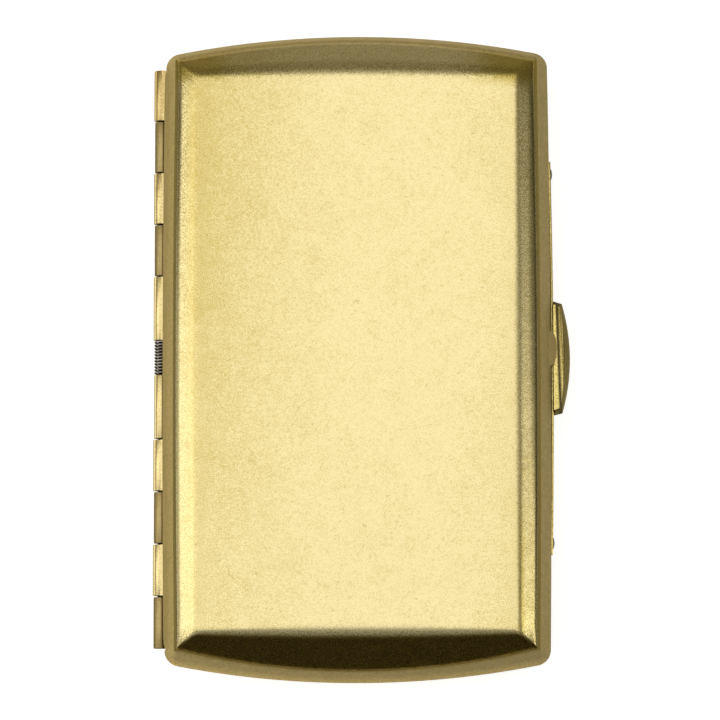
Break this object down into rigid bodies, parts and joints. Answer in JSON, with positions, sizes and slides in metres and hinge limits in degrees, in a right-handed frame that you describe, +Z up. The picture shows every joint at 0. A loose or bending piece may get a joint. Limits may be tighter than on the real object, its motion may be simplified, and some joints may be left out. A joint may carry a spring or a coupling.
{
  "type": "cigarette case",
  "caption": "Slim pressed brass cigarette case with a sprung barrel hinge, a thumb latch on the front rim and a sprung retaining arm inside each half.",
  "frame": {"origin": "middle of the base's flat outer face, on which the closed case lies", "axes": "+Z up through the closed case, from the base to the lid; +Y along the case's length, parallel to the hinge pin; +X across the case, from the hinge to the thumb piece"},
  "size_m": [0.0622, 0.097, 0.018],
  "materials": {
    "shell_brass": "fine brushed, lightly aged",
    "hinge_brass": "dull, aged",
    "aged_brass": "dark, tarnished",
    "spring_steel": "drawn"
  },
  "bodies": {
    "base": {"base_shell": "shell_brass", "base_hinge_leaf": "hinge_brass", "hinge_pin": "spring_steel", "hinge_spring": "spring_steel", "latch_strip": "shell_brass", "latch_rivet_right": "aged_brass", "latch_rivet_left": "aged_brass", "base_retainer_lug_right": "shell_brass", "base_retainer_lug_left": "shell_brass", "base_retainer_pin": "spring_steel", "base_retainer_spring": "spring_steel"},
    "lid": {"lid_shell": "shell_brass", "lid_hinge_leaf": "shell_brass", "lid_catch": "shell_brass", "lid_retainer_lug_right": "shell_brass", "lid_retainer_lug_left": "shell_brass", "lid_retainer_pin": "spring_steel", "lid_retainer_spring": "spring_steel"},
    "thumb": {"thumb_piece": "shell_brass", "latch_hook": "spring_steel"},
    "base_arm": {"base_retainer_arm": "shell_brass"},
    "lid_arm": {"lid_retainer_arm": "shell_brass"}
  },
  "joints": [
    {"name": "lid_open", "type": "hinge", "parent": "base", "child": "lid", "pos_m": [-0.02926, 0, 0.009], "axis": [0, -1, 0], "range_deg": [0, 175], "deforming": ["hinge_spring"]},
    {"name": "thumb_press", "type": "slide", "parent": "base", "child": "thumb", "axis": [-1, 0, 0], "range_m": [0, 0.0003], "stiffness_N_per_m": 5000, "deforming": ["latch_strip"]},
    {"name": "base_arm_lift", "type": "hinge", "parent": "base", "child": "base_arm", "pos_m": [-0.0256, 0, 0.008], "axis": [0, -1, 0], "range_deg": [0, 8.5], "stiffness_Nm_per_rad": 0.002, "springref_deg": -60.16, "deforming": ["base_retainer_spring"]},
    {"name": "lid_arm_lift", "type": "hinge", "parent": "lid", "child": "lid_arm", "pos_m": [-0.0256, 0, 0.01], "axis": [0, 1, 0], "range_deg": [0, 8.5], "stiffness_Nm_per_rad": 0.002, "springref_deg": -60.16, "deforming": ["lid_retainer_spring"]}
  ]
}
